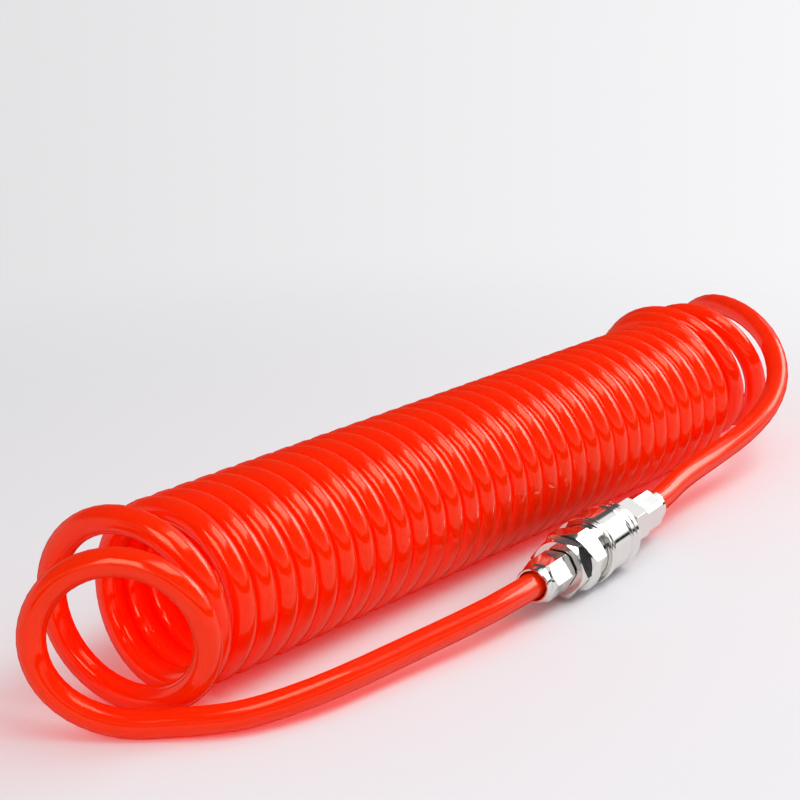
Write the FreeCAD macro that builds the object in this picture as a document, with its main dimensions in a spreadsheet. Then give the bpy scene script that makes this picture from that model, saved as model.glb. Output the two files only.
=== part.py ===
# Coiled air hose whose two ends meet in a quick coupling.
#
# A polyurethane hose is wound in close turns that lie on a bench, with a few turns fanned out at each
# end. Both ends of the hose come back along the front of the coil to one quick coupling: a socket with a
# sliding sleeve, locking balls and a valve, and a plug that sits in it. A nut clamps each hose end on a
# spigot.
#
# Frame: +Z is up and the bench is z = 0. The coupling lies along +X, the socket on the left and the plug
# on the right, with the middle of its length over the origin. Millimetres.
import FreeCAD, Part
import math
import os

import Sketcher

document = FreeCAD.newDocument("CoiledAirHose")

# Driving sizes
sheet = document.addObject("Spreadsheet::Sheet", "Sizes")
SIZES = (
    ("hose_outer", 8.0, "outer diameter of the hose"),
    ("hose_play", 0.2, "room round the hose in a nut"),
    ("coil_radius", 24.0, "from the coil's axis to the middle of the hose"),
    ("coil_pitch", 8.45, "from one close turn to the next"),
    ("coil_start_x", -140.39, "where the coil's axis starts"),
    ("coil_start_y", 62.97, "where the coil's axis starts"),
    ("coil_heading", -7.33, "degrees from +X to the coil's axis"),
    ("coil_first_turn", -2.01, "turn where the coil begins"),
    ("coil_last_turn", 34.61, "turn where the coil ends"),
    ("coil_straight", 8.0, "straight end of the coil, one hose diameter"),
    ("left_lead", 7.9, "from the coil's left end to the first bend of the hose"),
    ("right_lead", 13.3, "from the coil's right end to the first bend of the hose"),
    ("nut_lead", 16.0, "from a nut to the last bend of the hose"),
    ("nut_length", 16.2, "length of a hose nut"),
    ("nut_flats", 12.0, "across the flats of a hose nut"),
    ("nut_nose_length", 3.0, "round nose of a hose nut"),
    ("nut_nose_radius", 5.6, "radius of that nose"),
    ("nut_bevel", 1.6, "length of the cone from the nose to the hexagon"),
    ("nut_grip_depth", 8.0, "how far in the narrow hole of a nut reaches"),
    ("nut_gap", 0.8, "from a nut to the hexagon behind it"),
    ("thread_radius", 4.9, "outside of the thread that carries a nut"),
    ("thread_play", 0.08, "room between two threads"),
    ("thread_reach", 6.0, "how far the thread enters a nut"),
    ("spigot_radius", 2.6, "spigot that enters the hose"),
    ("spigot_setback", 2.0, "from the tip of a nut to the spigot"),
    ("spigot_bore_radius", 1.6, "air way through a spigot"),
    ("spigot_play", 0.08, "room between a spigot and the widened hose"),
    ("flange_flats", 17.7, "across the flats of the adapter"),
    ("flange_thickness", 4.5, "thickness of that hexagon"),
    ("flange_turn", 8.0, "degrees by which it is turned"),
    ("adapter_thread_radius", 5.5, "outside of the thread in the socket"),
    ("adapter_reach", 4.0, "how far the adapter enters the socket"),
    ("seal_thickness", 1.5, "rubber ring between adapter and socket"),
    ("seal_radius", 8.2, "outside of that ring"),
    ("body_flats", 18.4, "across the flats of the socket"),
    ("body_hex_length", 8.5, "length of that hexagon"),
    ("body_turn", -12.0, "degrees by which it is turned"),
    ("hex_bevel", 0.7, "bevel on a hexagon's end"),
    ("shoulder_radius", 9.1, "shoulder that guides the sleeve"),
    ("guide_length", 1.0, "how far that shoulder reaches into the sleeve"),
    ("barrel_radius", 7.2, "barrel under the sleeve"),
    ("sliding_play", 0.08, "room between two sliding pieces"),
    ("end_play", 0.3, "room at the end of a travel"),
    ("sleeve_travel", 2.2, "how far the sleeve is drawn back"),
    ("sleeve_length", 20.5, "length of the sleeve"),
    ("sleeve_radius", 10.5, "smooth part of the sleeve"),
    ("rim_radius", 11.0, "rims of the sleeve, which touch the bench"),
    ("rear_rim_length", 3.3, "rear rims of the sleeve"),
    ("front_rim_length", 5.4, "front rims of the sleeve"),
    ("groove_depth", 0.45, "depth of the grooves in the rims"),
    ("groove_width", 0.8, "width of those grooves"),
    ("land_length", 5.2, "sleeve land behind the balls"),
    ("land_cover", 0.15, "how far the land reaches past the balls"),
    ("recess_radius", 8.0, "room for the released balls"),
    ("sleeve_mouth_radius", 8.8, "front hole of the sleeve"),
    ("mouth_depth", 1.8, "from the sleeve's front to the socket's mouth"),
    ("ball_radius", 1.4, "locking ball"),
    ("ball_count", 3, "locking balls"),
    ("ball_depth", 5.2, "from the socket's mouth to the balls"),
    ("ball_lift", 0.5, "how far a ball rises when it lets the plug go"),
    ("ball_play", 0.08, "room over a ball and under it"),
    ("ball_lip", 0.3, "lip that keeps a ball from falling in"),
    ("snap_ring_width", 1.0, "ring that stops the sleeve"),
    ("snap_ring_radius", 8.5, "outside of that ring"),
    ("snap_groove_radius", 6.4, "bottom of its groove"),
    ("snap_ring_opening", 4.0, "opening of that ring"),
    ("nose_radius", 4.34, "front of the plug"),
    ("guide_radius", 4.82, "plug behind its groove"),
    ("groove_radius", 3.7, "bottom of the plug's groove"),
    ("nose_depth", 13.2, "from the socket's mouth to its stop"),
    ("plug_neck_radius", 6.2, "plug between its guide and hexagon"),
    ("plug_neck_length", 5.5, "from the sleeve to the plug's hexagon"),
    ("plug_flats", 14.0, "across the flats of the plug"),
    ("plug_hex_length", 9.0, "length of that hexagon"),
    ("packing_width", 1.9, "rubber packing round the plug's nose"),
    ("packing_depth", 1.7, "height of that packing"),
    ("packing_setback", 2.0, "from the stop to the packing"),
    ("seat_thickness", 1.5, "wall with the valve seat"),
    ("seat_radius", 3.6, "hole in that wall"),
    ("valve_stroke", 3.4, "how far the valve travels to its seat"),
    ("valve_radius", 4.6, "head of the valve"),
    ("valve_thickness", 1.3, "thickness of that head"),
    ("valve_seal_thickness", 0.8, "rubber disc on the valve"),
    ("vane_width", 1.4, "vanes of the valve"),
    ("spring_wire", 0.7, "wire of the springs"),
    ("valve_spring_radius", 3.6, "valve spring to the middle of its wire"),
    ("spring_turns", 4, "turns of a spring"),
)
for row, (alias, number, meaning) in enumerate(SIZES, start=1):
    sheet.set("A%d" % row, meaning)
    sheet.set("B%d" % row, str(number))
    sheet.setAlias("B%d" % row, alias)
document.recompute()


def size(alias):
    return float(sheet.get(alias))


# Stations along the coupling's axis and radii that follow from the sizes
place = document.addObject("App::VarSet", "Place")
STATIONS = (
    ("nut_tip", "-(2 * (Sizes.nut_length + Sizes.nut_gap) + Sizes.flange_thickness"
                " + Sizes.seal_thickness + Sizes.body_hex_length + Sizes.sleeve_travel + Sizes.end_play"
                " + Sizes.sleeve_length + Sizes.plug_neck_length + Sizes.plug_hex_length) / 2"),
    ("nut_back", "nut_tip + Sizes.nut_length"),
    ("flange_back", "nut_back + Sizes.nut_gap"),
    ("flange_front", "flange_back + Sizes.flange_thickness"),
    ("body_back", "flange_front + Sizes.seal_thickness"),
    ("hex_front", "body_back + Sizes.body_hex_length"),
    ("sleeve_back", "hex_front + Sizes.sleeve_travel + Sizes.end_play"),
    ("sleeve_front", "sleeve_back + Sizes.sleeve_length"),
    ("plug_hex_back", "sleeve_front + Sizes.plug_neck_length"),
    ("plug_hex_front", "plug_hex_back + Sizes.plug_hex_length"),
    ("plug_nut_back", "plug_hex_front + Sizes.nut_gap"),
    ("plug_nut_tip", "plug_nut_back + Sizes.nut_length"),
    ("adapter_front", "body_back + Sizes.adapter_reach"),
    ("shoulder_front", "sleeve_back + Sizes.guide_length"),
    ("mouth", "sleeve_front - Sizes.mouth_depth"),
    ("ball_middle", "mouth - Sizes.ball_depth"),
    ("ball_ring", "Sizes.barrel_radius + Sizes.sliding_play - Sizes.ball_play - Sizes.ball_radius"),
    ("step_bore", "Sizes.nose_radius + Sizes.sliding_play"),
    ("front_bore", "Sizes.guide_radius + Sizes.sliding_play"),
    ("land_back", "ball_middle - Sizes.land_length"),
    ("land_front", "ball_middle + Sizes.land_cover"),
    ("land_radius", "Sizes.barrel_radius + Sizes.sliding_play"),
    ("ramp_front", "land_front + Sizes.recess_radius - land_radius"),
    ("snap_ring_back", "ball_middle + Sizes.ball_radius + Sizes.ball_play + 2 * Sizes.end_play"),
    ("snap_ring_front", "snap_ring_back + Sizes.snap_ring_width"),
    ("stop", "mouth - Sizes.nose_depth"),
    ("nose_tip", "stop + Sizes.end_play"),
    ("seat", "stop - Sizes.seat_thickness"),
    ("packing_back", "stop + Sizes.packing_setback"),
    ("packing_front", "packing_back + Sizes.packing_width"),
    ("packing_groove", "step_bore + Sizes.packing_depth"),
    ("valve_seal_front", "seat - Sizes.valve_stroke"),
    ("valve_front", "valve_seal_front - Sizes.valve_seal_thickness"),
    ("valve_back", "valve_front - Sizes.valve_thickness"),
    ("thread_bore", "Sizes.thread_radius + Sizes.thread_play"),
    ("hose_hole", "Sizes.hose_outer / 2 + Sizes.hose_play"),
    ("hose_widened", "Sizes.spigot_radius + Sizes.spigot_play"),
    ("thread_tip", "nut_back - Sizes.thread_reach"),
    ("spigot_tip", "nut_tip + Sizes.spigot_setback"),
    ("plug_thread_tip", "plug_nut_back + Sizes.thread_reach"),
    ("plug_spigot_tip", "plug_nut_tip - Sizes.spigot_setback"),
)
for name, rule in STATIONS:
    place.addProperty("App::PropertyFloat", name)
    place.setExpression(name, rule)
document.recompute()


def at(name):
    return float(getattr(place, name))


# Sketches, turned pieces and hexagons
DOMED = "domed"


def origin_plane(body, role):
    return [feature for feature in body.Origin.OriginFeatures if feature.Role == role][0]


def new_sketch(body, role, name, offset=None):
    sketch = body.newObject("Sketcher::SketchObject", name)
    sketch.AttachmentSupport = [(origin_plane(body, role), "")]
    sketch.MapMode = "FlatFace"
    if offset:
        sketch.setExpression("AttachmentOffset.Base.z", offset)
    return sketch


def domed_edge(start, end):
    # Arc from one corner to the next with its centre on the axis
    middle = (end.x + start.x) / 2 + (end.y ** 2 - start.y ** 2) / (2 * (end.x - start.x))
    centre = FreeCAD.Vector(middle, 0, 0)
    circle = Part.Circle(centre, FreeCAD.Vector(0, 0, 1), centre.distanceToPoint(start))
    angles = sorted(math.atan2(point.y, point.x - middle) for point in (start, end))
    return Part.ArcOfCircle(circle, angles[0], angles[1])


def add_outline(sketch, corners):
    # A closed outline whose corners are pairs of expressions; a third word, DOMED, makes the edge
    # from that corner to the next an arc about a point on the axis
    points = [FreeCAD.Vector(float(sketch.evalExpression(corner[0])),
                             float(sketch.evalExpression(corner[1])), 0) for corner in corners]
    first = sketch.GeometryCount
    count = len(points)
    starts, ends = [], []
    for index, corner in enumerate(corners):
        start, end = points[index], points[(index + 1) % count]
        if corner[2:]:
            sketch.addGeometry(domed_edge(start, end))
            # An arc runs anticlockwise, so its first point is the one further to the right
            reversed_arc = start.x < end.x
            starts.append(2 if reversed_arc else 1)
            ends.append(1 if reversed_arc else 2)
            sketch.addConstraint(Sketcher.Constraint("PointOnObject", first + index, 3, -1))
        else:
            sketch.addGeometry(Part.LineSegment(start, end))
            starts.append(1)
            ends.append(2)
    for index in range(count):
        onward = (index + 1) % count
        sketch.addConstraint(Sketcher.Constraint(
            "Coincident", first + index, ends[index], first + onward, starts[onward]))
    for index, corner in enumerate(corners):
        for kind, rule, number in (("DistanceX", corner[0], points[index].x),
                                   ("DistanceY", corner[1], points[index].y)):
            label = "%s_%d" % (kind, first + index)
            made = sketch.addConstraint(Sketcher.Constraint(
                kind, -1, 1, first + index, starts[index], number))
            sketch.renameConstraint(made, label)
            sketch.setExpression("Constraints." + label, rule)


def add_circle(sketch, radius, middle=("0", "0")):
    # A circle whose radius and middle are expressions
    number = float(sketch.evalExpression(radius))
    centre = FreeCAD.Vector(float(sketch.evalExpression(middle[0])),
                            float(sketch.evalExpression(middle[1])), 0)
    index = sketch.addGeometry(Part.Circle(centre, FreeCAD.Vector(0, 0, 1), number))
    for kind, rule, value in (("DistanceX", middle[0], centre.x), ("DistanceY", middle[1], centre.y)):
        made = sketch.addConstraint(Sketcher.Constraint(kind, -1, 1, index, 3, value))
        sketch.renameConstraint(made, "%s_%d" % (kind, index))
        sketch.setExpression("Constraints.%s_%d" % (kind, index), rule)
    made = sketch.addConstraint(Sketcher.Constraint("Radius", index, number))
    sketch.renameConstraint(made, "Radius_%d" % index)
    sketch.setExpression("Constraints.Radius_%d" % index, radius)


def hexagon_corners(flats, turn):
    # Corner 0 points to the side when the turn is 0; the sketch looks along the coupling's axis
    return [("%s / sqrt(3) * cos((%d + %s) * 1 deg)" % (flats, 60 * k, turn),
             "%s / sqrt(3) * sin((%d + %s) * 1 deg)" % (flats, 60 * k, turn)) for k in range(6)]


def new_body(label):
    body = document.addObject("PartDesign::Body", label)
    body.Label = label
    body.setExpression("Placement.Base.z", "Sizes.rim_radius")
    return body


def turn_piece(body, outline):
    # Revolves an outline of (station, radius) corners about the coupling's axis
    sketch = new_sketch(body, "XZ_Plane", body.Name + "Profile")
    add_outline(sketch, outline)
    turned = body.newObject("PartDesign::Revolution", body.Name + "Turned")
    turned.Profile = sketch
    turned.ReferenceAxis = (sketch, ["H_Axis"])
    turned.Angle = 360
    document.recompute()
    return turned


def cut_along(body, sketch, length, name):
    # Pocket of a sketch on a YZ plane, which runs back along the axis from the sketch
    before = body.Shape.Volume
    pocket = body.newObject("PartDesign::Pocket", name)
    pocket.Profile = sketch
    pocket.setExpression("Length", length)
    document.recompute()
    if not body.Shape.Volume < before - 0.001:
        raise RuntimeError(name + " cuts nothing")
    return pocket


def mill_flats(body, flats, turn, front, length):
    # Six flats on a turned blank, from the station front back over the length
    sketch = new_sketch(body, "YZ_Plane", body.Name + "Flats", front)
    add_circle(sketch, flats + " / sqrt(3) + 1")
    add_outline(sketch, hexagon_corners(flats, turn))
    return cut_along(body, sketch, length, body.Name + "Milled")


# Hose nuts
def make_nut(label, tip, inward):
    # The nut's outline starts at its tip; inward is 1 for the socket's nut and -1 for the plug's
    def station(rule):
        return "%s + (%s) * %d" % (tip, rule, inward)

    corner = "Sizes.nut_flats / sqrt(3)"
    cone = "Sizes.nut_nose_length + Sizes.nut_bevel"
    body = new_body(label)
    turn_piece(body, [
        (station("0"), "Place.hose_hole"),
        (station("0"), "Sizes.nut_nose_radius"),
        (station("Sizes.nut_nose_length"), "Sizes.nut_nose_radius", DOMED),
        (station(cone), corner),
        (station("Sizes.nut_length"), corner),
        (station("Sizes.nut_length"), "Place.thread_bore"),
        (station("Sizes.nut_grip_depth"), "Place.thread_bore"),
        (station("Sizes.nut_grip_depth"), "Place.hose_hole"),
    ])
    front = tip if inward < 0 else station("Sizes.nut_length")
    mill_flats(body, "Sizes.nut_flats", "0", front, "Sizes.nut_length")
    return body


socket_nut = make_nut("socket_hose_nut", "Place.nut_tip", 1)
plug_nut = make_nut("plug_hose_nut", "Place.plug_nut_tip", -1)


def spigot_outline(tip, root, inward):
    # Plain spigot and the thread for the nut, from the bore at the tip to the thread's root
    def station(rule):
        return "%s + (%s) * %d" % (tip, rule, inward)

    return [
        (station("0"), "Sizes.spigot_bore_radius"),
        (station("0"), "Sizes.spigot_radius"),
        (root, "Sizes.spigot_radius"),
        (root, "Sizes.thread_radius"),
    ]


# Adapter that screws into the socket and carries the hose
adapter = new_body("socket_adapter")
flange_corner = "Sizes.flange_flats / sqrt(3)"
turn_piece(adapter, spigot_outline("Place.spigot_tip", "Place.thread_tip", 1) + [
    ("Place.flange_back", "Sizes.thread_radius"),
    ("Place.flange_back", flange_corner + " - Sizes.hex_bevel * sqrt(3)", DOMED),
    ("Place.flange_back + Sizes.hex_bevel", flange_corner),
    ("Place.flange_front - Sizes.hex_bevel", flange_corner, DOMED),
    ("Place.flange_front", flange_corner + " - Sizes.hex_bevel * sqrt(3)"),
    ("Place.flange_front", "Sizes.adapter_thread_radius"),
    ("Place.adapter_front", "Sizes.adapter_thread_radius"),
    ("Place.adapter_front", "Sizes.spigot_bore_radius"),
])
mill_flats(adapter, "Sizes.flange_flats", "Sizes.flange_turn", "Place.flange_front",
           "Sizes.flange_thickness")

adapter_seal = new_body("adapter_seal_ring")
turn_piece(adapter_seal, [
    ("Place.flange_front", "Sizes.adapter_thread_radius + Sizes.thread_play"),
    ("Place.flange_front", "Sizes.seal_radius"),
    ("Place.body_back", "Sizes.seal_radius"),
    ("Place.body_back", "Sizes.adapter_thread_radius + Sizes.thread_play"),
])

# Socket body: hexagon, shoulder, barrel, valve seat, packing groove and stepped bore for the plug
socket = new_body("socket_body")
body_corner = "Sizes.body_flats / sqrt(3)"
turn_piece(socket, [
    ("Place.body_back", "Sizes.adapter_thread_radius + Sizes.thread_play"),
    ("Place.body_back", body_corner + " - Sizes.hex_bevel * sqrt(3)", DOMED),
    ("Place.body_back + Sizes.hex_bevel", body_corner),
    ("Place.hex_front - 1.6 * Sizes.hex_bevel", body_corner, DOMED),
    ("Place.hex_front", "Sizes.shoulder_radius"),
    ("Place.shoulder_front", "Sizes.shoulder_radius"),
    ("Place.shoulder_front", "Sizes.barrel_radius"),
    ("Place.snap_ring_back", "Sizes.barrel_radius"),
    ("Place.snap_ring_back", "Sizes.snap_groove_radius"),
    ("Place.snap_ring_front", "Sizes.snap_groove_radius"),
    ("Place.snap_ring_front", "Sizes.barrel_radius"),
    ("Place.mouth", "Sizes.barrel_radius"),
    ("Place.mouth", "Place.front_bore"),
    ("Place.ball_middle - Sizes.ball_radius - Sizes.end_play", "Place.front_bore"),
    ("Place.ball_middle - Sizes.ball_radius - Sizes.end_play", "Place.step_bore"),
    ("Place.packing_front", "Place.step_bore"),
    ("Place.packing_front", "Place.packing_groove"),
    ("Place.packing_back", "Place.packing_groove"),
    ("Place.packing_back", "Place.step_bore"),
    ("Place.stop", "Place.step_bore"),
    ("Place.stop", "Sizes.seat_radius"),
    ("Place.seat", "Sizes.seat_radius"),
    ("Place.seat", "Sizes.adapter_thread_radius + Sizes.thread_play"),
])
mill_flats(socket, "Sizes.body_flats", "Sizes.body_turn", "Place.hex_front", "Sizes.body_hex_length")


def drill_ball_hole(name, radius, depth):
    # One hole from above the barrel down to a distance from the axis
    sketch = new_sketch(socket, "XY_Plane", name + "Circle", "Sizes.barrel_radius + 1")
    add_circle(sketch, radius, ("Place.ball_middle", "0"))
    before = socket.Shape.Volume
    hole = socket.newObject("PartDesign::Pocket", name)
    hole.Profile = sketch
    hole.setExpression("Length", "Sizes.barrel_radius + 1 - (%s)" % depth)
    document.recompute()
    if not socket.Shape.Volume < before - 0.001:
        raise RuntimeError(name + " cuts nothing")
    return hole


ball_hole = drill_ball_hole("BallHole", "Sizes.ball_radius + Sizes.ball_play",
                            "Place.front_bore + Sizes.ball_lip")
ball_lip = drill_ball_hole("BallLip", "Sizes.ball_radius - Sizes.ball_play", "Sizes.nose_radius")
pattern = socket.newObject("PartDesign::PolarPattern", "BallHoles")
pattern.Originals = [ball_hole, ball_lip]
pattern.Axis = (origin_plane(socket, "X_Axis"), [""])
pattern.Angle = 360
pattern.setExpression("Occurrences", "Sizes.ball_count")
socket.Tip = pattern
document.recompute()

# Ring that stops the sleeve, with its opening
snap_ring = new_body("sleeve_snap_ring")
turn_piece(snap_ring, [
    ("Place.snap_ring_back", "Sizes.snap_groove_radius + Sizes.sliding_play / 2"),
    ("Place.snap_ring_back", "Sizes.snap_ring_radius"),
    ("Place.snap_ring_front", "Sizes.snap_ring_radius"),
    ("Place.snap_ring_front", "Sizes.snap_groove_radius + Sizes.sliding_play / 2"),
])
opening = new_sketch(snap_ring, "YZ_Plane", "SnapRingOpening", "Place.snap_ring_front")
add_outline(opening, [
    ("-Sizes.snap_ring_opening / 2", "Sizes.snap_groove_radius / 2"),
    ("Sizes.snap_ring_opening / 2", "Sizes.snap_groove_radius / 2"),
    ("Sizes.snap_ring_opening / 2", "Sizes.snap_ring_radius + 1"),
    ("-Sizes.snap_ring_opening / 2", "Sizes.snap_ring_radius + 1"),
])
cut_along(snap_ring, opening, "Sizes.snap_ring_width", "SnapRingCut")

# Rubber packing round the plug's nose
packing = new_body("nose_packing")
turn_piece(packing, [
    ("Place.packing_back", "Sizes.nose_radius + Sizes.sliding_play / 2"),
    ("Place.packing_back", "Place.packing_groove"),
    ("Place.packing_front", "Place.packing_groove"),
    ("Place.packing_front", "Sizes.nose_radius + Sizes.sliding_play / 2"),
])

# Sliding sleeve: two rear rims, a smooth grip, a groove and two front rims
sleeve = new_body("sleeve")
rear_middle = "Place.sleeve_back + Sizes.rear_rim_length / 2"
front_middle = "Place.sleeve_front - Sizes.front_rim_length / 2"
groove_bottom = "Sizes.rim_radius - Sizes.groove_depth"
turn_piece(sleeve, [
    ("Place.sleeve_back", "Sizes.shoulder_radius + Sizes.sliding_play"),
    ("Place.sleeve_back", "Sizes.rim_radius"),
    (rear_middle + " - Sizes.groove_width / 2", "Sizes.rim_radius"),
    (rear_middle + " - Sizes.groove_width / 2", groove_bottom),
    (rear_middle + " + Sizes.groove_width / 2", groove_bottom),
    (rear_middle + " + Sizes.groove_width / 2", "Sizes.rim_radius"),
    ("Place.sleeve_back + Sizes.rear_rim_length", "Sizes.rim_radius"),
    ("Place.sleeve_back + Sizes.rear_rim_length", "Sizes.sleeve_radius"),
    ("Place.sleeve_front - Sizes.front_rim_length", "Sizes.sleeve_radius"),
    ("Place.sleeve_front - Sizes.front_rim_length", "Sizes.rim_radius"),
    (front_middle + " - Sizes.groove_width / 2", "Sizes.rim_radius"),
    (front_middle + " - Sizes.groove_width / 2", groove_bottom),
    (front_middle + " + Sizes.groove_width / 2", groove_bottom),
    (front_middle + " + Sizes.groove_width / 2", "Sizes.rim_radius"),
    ("Place.sleeve_front", "Sizes.rim_radius"),
    ("Place.sleeve_front", "Sizes.sleeve_mouth_radius"),
    ("Place.snap_ring_back - Sizes.sliding_play", "Sizes.sleeve_mouth_radius"),
    ("Place.snap_ring_back - Sizes.sliding_play", "Sizes.recess_radius"),
    ("Place.ramp_front", "Sizes.recess_radius"),
    ("Place.land_front", "Place.land_radius"),
    ("Place.land_back", "Place.land_radius"),
    ("Place.land_back", "Sizes.shoulder_radius + Sizes.sliding_play"),
])

# Valve: a head with four vanes that the plug's nose pushes back, and the rubber disc that closes it
valve = new_body("valve_poppet")
turn_piece(valve, [
    ("Place.valve_back", "0"),
    ("Place.valve_back", "Sizes.valve_radius"),
    ("Place.valve_front", "Sizes.valve_radius"),
    ("Place.valve_front", "0"),
])
vane_reach = "(Sizes.seat_radius - 3 * Sizes.sliding_play)"
half_vane = "Sizes.vane_width / 2"
vanes = new_sketch(valve, "YZ_Plane", "Vanes", "Place.valve_front")
add_outline(vanes, [
    (vane_reach, half_vane), (half_vane, half_vane), (half_vane, vane_reach),
    ("-" + half_vane, vane_reach), ("-" + half_vane, half_vane), ("-" + vane_reach, half_vane),
    ("-" + vane_reach, "-" + half_vane), ("-" + half_vane, "-" + half_vane),
    ("-" + half_vane, "-" + vane_reach), (half_vane, "-" + vane_reach),
    (half_vane, "-" + half_vane), (vane_reach, "-" + half_vane),
])
stem = valve.newObject("PartDesign::Pad", "VaneStem")
stem.Profile = vanes
stem.setExpression("Length", "Place.nose_tip - Sizes.end_play - Place.valve_front")
document.recompute()

valve_seal = new_body("valve_seal_disc")
turn_piece(valve_seal, [
    ("Place.valve_front", "Sizes.seat_radius"),
    ("Place.valve_front", "Sizes.valve_radius"),
    ("Place.valve_seal_front", "Sizes.valve_radius"),
    ("Place.valve_seal_front", "Sizes.seat_radius"),
])

# Plug: nose, groove for the balls, guide, neck, hexagon, thread and spigot
plug = new_body("plug_body")
plug_corner = "Sizes.plug_flats / sqrt(3)"
spigot = spigot_outline("Place.plug_spigot_tip", "Place.plug_thread_tip", -1)
turn_piece(plug, [
    ("Place.nose_tip", "Sizes.spigot_bore_radius"),
    ("Place.nose_tip", "Sizes.nose_radius"),
    ("Place.ball_middle - Sizes.ball_radius", "Sizes.nose_radius"),
    ("Place.ball_middle - Sizes.ball_radius", "Sizes.groove_radius"),
    ("Place.ball_middle + Sizes.ball_radius", "Sizes.groove_radius"),
    ("Place.ball_middle + Sizes.ball_radius", "Sizes.guide_radius"),
    ("Place.mouth + Sizes.end_play", "Sizes.guide_radius"),
    ("Place.mouth + Sizes.end_play", "Sizes.plug_neck_radius"),
    ("Place.plug_hex_back", "Sizes.plug_neck_radius"),
    ("Place.plug_hex_back", plug_corner + " - Sizes.hex_bevel * sqrt(3)", DOMED),
    ("Place.plug_hex_back + Sizes.hex_bevel", plug_corner),
    ("Place.plug_hex_front", plug_corner),
    ("Place.plug_hex_front", "Sizes.thread_radius"),
] + spigot[::-1])
mill_flats(plug, "Sizes.plug_flats", "0", "Place.plug_hex_front", "Sizes.plug_hex_length")

# Locking balls, evenly round the barrel, each turned with a few flat bands
balls = []
flats = ["%s * 1 deg" % angle for angle in (25, 65, 115, 155)]
for index in range(int(size("ball_count"))):
    ball = new_body("locking_ball_%d" % (index + 1))
    turn_piece(ball, [("-Sizes.ball_radius * cos(%s)" % flats[0], "0")]
               + [("-Sizes.ball_radius * cos(%s)" % angle, "Sizes.ball_radius * sin(%s)" % angle)
                  for angle in flats]
               + [("-Sizes.ball_radius * cos(%s)" % flats[-1], "0")])
    angle = "(90 + %d * 360 / Sizes.ball_count) * 1 deg" % index
    ball.setExpression("Placement.Base.x", "Place.ball_middle")
    ball.setExpression("Placement.Base.y", "Place.ball_ring * cos(%s)" % angle)
    ball.setExpression("Placement.Base.z", "Sizes.rim_radius + Place.ball_ring * sin(%s)" % angle)
    balls.append(ball)
document.recompute()


# Wound and bent pieces, which are tubes of polygon section along straight steps
def polygon(middle, along, side, radius, sides):
    # A regular polygon square to the path, with one flat towards the side
    across = along.cross(side)
    across.normalize()
    side = across.cross(along)
    corners = []
    for index in range(sides + 1):
        angle = 2 * math.pi * (index + 0.5) / sides
        corners.append(middle + side * (radius * math.cos(angle)) + across * (radius * math.sin(angle)))
    return Part.makePolygon(corners)


def chord_tube(points, section):
    # One unbroken tube along straight steps, mitred where they meet
    shell = Part.BRepOffsetAPI.MakePipeShell(Part.makePolygon(points))
    shell.setTransitionMode(1)
    shell.add(section)
    shell.build()
    shell.makeSolid()
    return shell.shape()


def least_gap(points, radius, skip):
    # Least distance between the tube's skins, on points, for stretches at least skip points apart
    reach = 1e9
    for first in range(len(points)):
        for second in range(first + skip, len(points)):
            apart = points[first].distanceToPoint(points[second])
            reach = min(reach, apart)
    return reach - 2 * radius


def add_shape(label, shape):
    feature = document.addObject("Part::Feature", label)
    feature.Label = label
    feature.Shape = shape
    feature.Placement = FreeCAD.Placement()
    return feature


def make_spring(label, back, front, radius):
    # Wire from one seat to the other, in twelve straight steps a turn
    wire = size("spring_wire")
    steps = int(12 * size("spring_turns"))
    rise = (front - back - wire) / steps
    points = []
    for step in range(steps + 1):
        angle = 2 * math.pi * step / 12
        points.append(FreeCAD.Vector(back + wire / 2 + rise * step, radius * math.cos(angle),
                                     size("rim_radius") + radius * math.sin(angle)))
    along = points[1] - points[0]
    along.normalize()
    shape = chord_tube(points, polygon(points[0], along, FreeCAD.Vector(1, 0, 0), wire / 2, 4))
    print(label, "least gap %.2f" % least_gap(points, wire / 2, 8))
    return add_shape(label, shape)


sleeve_spring = make_spring("sleeve_spring", at("shoulder_front"), at("land_back"),
                            (size("barrel_radius") + size("shoulder_radius")) / 2)
valve_spring = make_spring("valve_spring", at("adapter_front"), at("valve_back"),
                           size("valve_spring_radius"))


# Hose coil. Turn 0 touches the bench; close turns run to the right, and both ends fan out
# by rates that grow with the distance from the last close turn.
HOSE_RADIUS = size("hose_outer") / 2
STEPS_A_TURN = 12
HOSE_SIDES = 6
BENCH_HEIGHT = HOSE_RADIUS / math.cos(math.pi / STEPS_A_TURN)

LEFT_FAN = {"from": 0.2, "towards": -1, "x_cos": (-8.76, 4.5), "x_sin": (3.85, 3.5),
            "x": (17.84, -6.93), "radius": (4.9, -4.3), "y": (1.48, -5.45)}
RIGHT_FAN = {"from": 30.75, "towards": 1, "x_cos": (5.9, -2.49), "x_sin": (-3.8, 2.69),
             "x": (3.3, 1.45), "radius": (1.7, -0.91), "y": (10.09, -3.15)}


def coil_point(turn):
    angle = 2 * math.pi * turn
    x = (turn - 1 / 6) * size("coil_pitch")
    y = 0.0
    radius = size("coil_radius")
    for fan in (LEFT_FAN, RIGHT_FAN):
        out = (turn - fan["from"]) * fan["towards"]
        if out > 0:
            grown = out * out / (out + 0.35)

            def rate(name):
                return fan[name][0] * grown + fan[name][1] * grown * grown

            x += fan["towards"] * (rate("x_cos") * math.cos(angle) + rate("x_sin") * math.sin(angle)
                                   + rate("x"))
            y += rate("y")
            radius += rate("radius")
    y += radius * math.sin(angle)
    z = BENCH_HEIGHT + radius - radius * math.cos(angle)
    heading = math.radians(size("coil_heading"))
    return FreeCAD.Vector(size("coil_start_x") + x * math.cos(heading) - y * math.sin(heading),
                          size("coil_start_y") + x * math.sin(heading) + y * math.cos(heading), z)


def coil_heading_at(turn):
    along = coil_point(turn + 0.001) - coil_point(turn - 0.001)
    along.normalize()
    return along


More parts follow.
